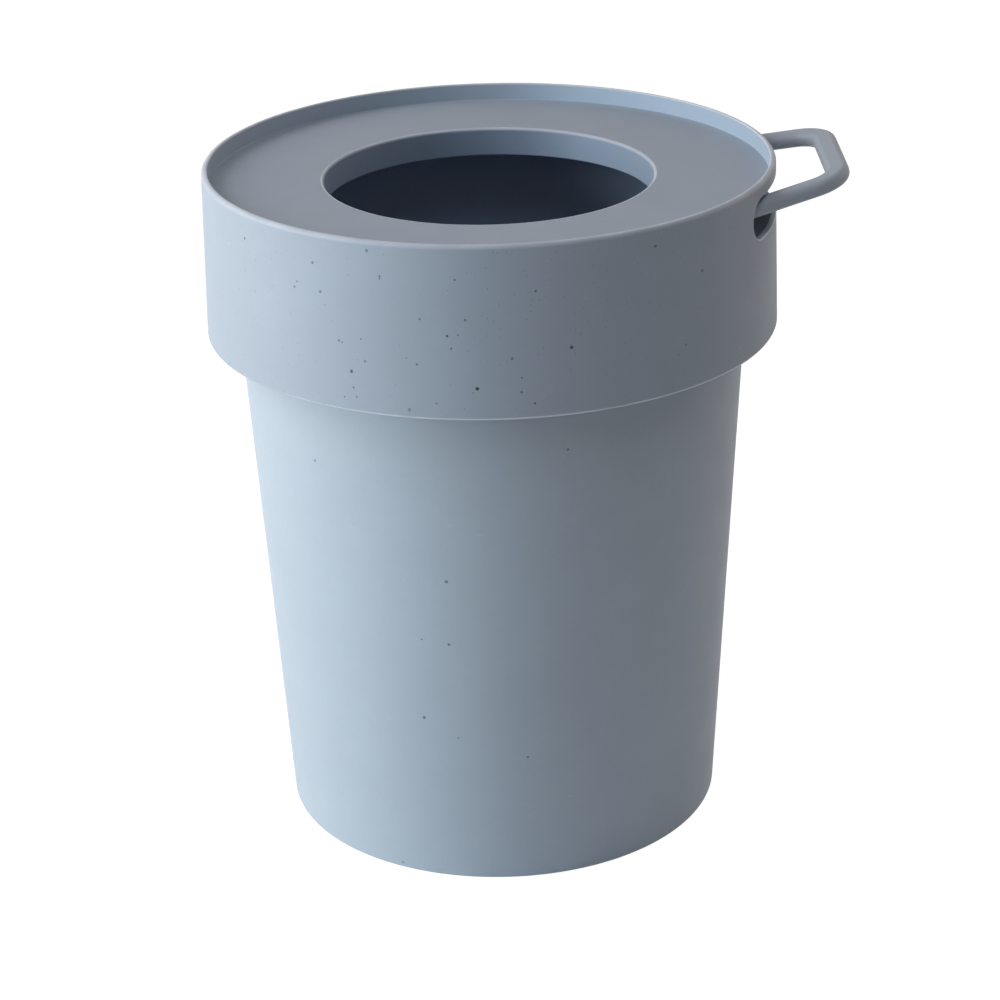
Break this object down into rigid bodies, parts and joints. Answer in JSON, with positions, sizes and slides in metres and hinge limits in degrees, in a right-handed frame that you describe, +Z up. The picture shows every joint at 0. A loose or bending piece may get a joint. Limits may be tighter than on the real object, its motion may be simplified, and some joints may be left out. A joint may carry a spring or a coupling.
{
  "type": "kitchen bin",
  "caption": "Round tapered kitchen bin with a loop handle at the rim and a loose collar that hides the bag's edge and frames a round mouth.",
  "frame": {"origin": "centre of the bucket's base, on the surface that it stands on", "axes": "+Z up along the axis of the bucket, +X towards the loop handle"},
  "size_m": [0.3394, 0.305, 0.3668],
  "materials": {
    "bucket_plastic": "matt speckled plastic",
    "handle_plastic": "matt speckled plastic",
    "collar_plastic": "matt speckled plastic"
  },
  "bodies": {
    "bucket": {"bucket": "bucket_plastic", "carry_handle": "handle_plastic"},
    "collar": {"collar": "collar_plastic"}
  },
  "joints": [
    {"name": "collar_tip", "type": "hinge", "parent": "bucket", "child": "collar", "pos_m": [0.142, 0, 0.3549], "axis": [0, 1, 0], "range_deg": [0, 10]}
  ]
}
